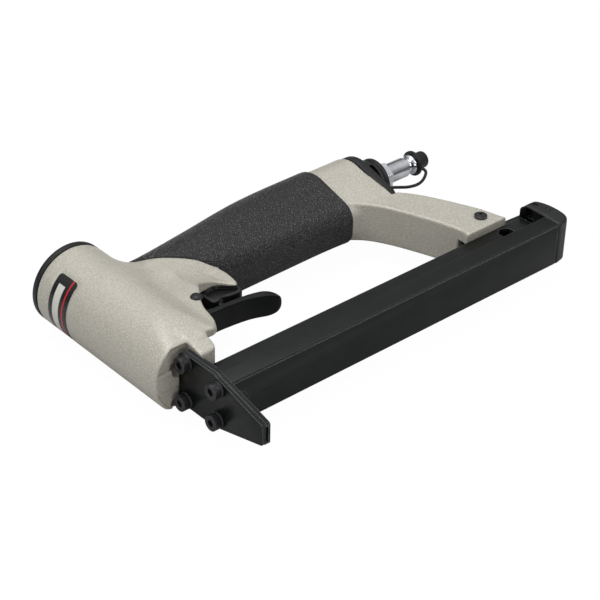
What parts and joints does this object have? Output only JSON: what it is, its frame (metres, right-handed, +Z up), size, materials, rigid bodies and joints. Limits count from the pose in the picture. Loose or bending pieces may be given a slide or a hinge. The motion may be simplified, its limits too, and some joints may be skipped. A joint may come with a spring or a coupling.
{
  "type": "pneumatic staple gun",
  "caption": "Compact pneumatic upholstery stapler lying on its side, with a rubber grip, a sliding staple magazine, a sprung trigger and a plug for an air line.",
  "frame": {"origin": "on the floor under the middle of the tool's overall box, with the tool lying on its right-hand side", "axes": "+X from the head to the rear along the magazine, +Y from the nose tip to the head cap, +Z up through the tool's left-hand side"},
  "size_m": [0.2604, 0.1658, 0.046],
  "materials": {
    "housing_paint": "semi-gloss speckled warm grey powder coat on a light-alloy casting",
    "grip_rubber": "matte rubber with a leather-like grain",
    "black_plastic": "satin black moulded plastic",
    "trigger_plastic": "glossy black moulded plastic",
    "seal_rubber": "matte black",
    "tether_rubber": "smooth black",
    "black_steel": "black oxide, slightly worn on edges",
    "coated_steel": "satin black coating with a fine texture",
    "label_film": "black film with a thin red stripe and plain pale marks",
    "aluminium": "turned",
    "bright_steel": "brushed",
    "chrome_steel": "bright plated with fine turning marks"
  },
  "bodies": {
    "tool": {"housing": "housing_paint", "grip_sleeve": "grip_rubber", "head_cap": "black_plastic", "head_cap_gasket": "seal_rubber", "head_cap_screws": "black_steel", "label": "label_film", "cylinder_sleeve": "aluminium", "bumper": "seal_rubber", "head_valve_spring": "bright_steel", "nose_plate": "coated_steel", "nose_body": "coated_steel", "nose_screws": "black_steel", "nose_washers": "black_steel", "magazine_rail": "coated_steel", "rail_bracket": "coated_steel", "staple_stick": "bright_steel", "arm_screw": "black_steel", "arm_nut": "black_steel", "trigger_pin": "black_steel", "trigger_valve_housing": "trigger_plastic", "trigger_valve_spring": "bright_steel", "rear_end_plate": "black_plastic", "end_plate_gasket": "seal_rubber", "end_plate_screws": "black_steel", "tether_ring": "tether_rubber", "air_plug": "chrome_steel", "tether": "tether_rubber"},
    "driver": {"piston": "aluminium", "piston_o_ring": "seal_rubber", "driver_blade": "bright_steel"},
    "head_valve": {"head_valve": "black_plastic"},
    "trigger": {"trigger": "coated_steel"},
    "valve_stem": {"trigger_valve_stem": "bright_steel"},
    "magazine": {"magazine_cover": "coated_steel", "magazine_core": "bright_steel", "magazine_end_cap": "black_plastic", "latch_pin": "black_steel", "end_cap_pin": "black_steel", "pusher_rod": "bright_steel", "pusher_spring": "bright_steel", "latch_spring": "bright_steel"},
    "latch": {"latch_lever": "coated_steel"},
    "pusher": {"staple_pusher": "coated_steel"},
    "deflector": {"exhaust_deflector": "black_plastic"},
    "dust_cap": {"dust_cap": "tether_rubber"}
  },
  "joints": [
    {"name": "driver_slide", "type": "slide", "parent": "tool", "child": "driver", "axis": [0, -1, 0], "range_m": [0, 0.038]},
    {"name": "head_valve_slide", "type": "slide", "parent": "tool", "child": "head_valve", "axis": [0, 1, 0], "range_m": [0, 0.004], "stiffness_N_per_m": 1200, "springref_m": -0.004, "deforming": ["head_valve_spring"]},
    {"name": "trigger_hinge", "type": "hinge", "parent": "tool", "child": "trigger", "pos_m": [-0.08115, 0.0083, 0.023], "axis": [0, 0, 1], "range_deg": [0, 6.5], "stiffness_Nm_per_rad": 1, "springref_deg": -11.46},
    {"name": "valve_stem_slide", "type": "slide", "parent": "tool", "child": "valve_stem", "axis": [0, 1, 0], "range_m": [0, 0.0028], "deforming": ["trigger_valve_spring"]},
    {"name": "magazine_slide", "type": "slide", "parent": "tool", "child": "magazine", "axis": [1, 0, 0], "range_m": [0, 0.11]},
    {"name": "latch_hinge", "type": "hinge", "parent": "magazine", "child": "latch", "pos_m": [0.12335, -0.0327, 0.023], "axis": [0, 0, 1], "range_deg": [-12, 0], "stiffness_Nm_per_rad": 0.05, "springref_deg": 17.19, "deforming": ["latch_spring"]},
    {"name": "pusher_slide", "type": "slide", "parent": "magazine", "child": "pusher", "axis": [1, 0, 0], "range_m": [0, 0.1], "stiffness_N_per_m": 40, "springref_m": -0.12, "deforming": ["pusher_spring"]},
    {"name": "deflector_swivel", "type": "hinge", "parent": "tool", "child": "deflector", "pos_m": [0.08185, 0.0593, 0.023], "axis": [1, 0, 0], "continuous": true},
    {"name": "dust_cap_slide", "type": "slide", "parent": "tool", "child": "dust_cap", "axis": [1, 0, 0], "range_m": [0, 0.014], "deforming": ["tether"]}
  ],
  "couplings": [
    {"joint": "valve_stem_slide", "follows": "trigger_hinge", "m_per_rad": 0.022}
  ]
}
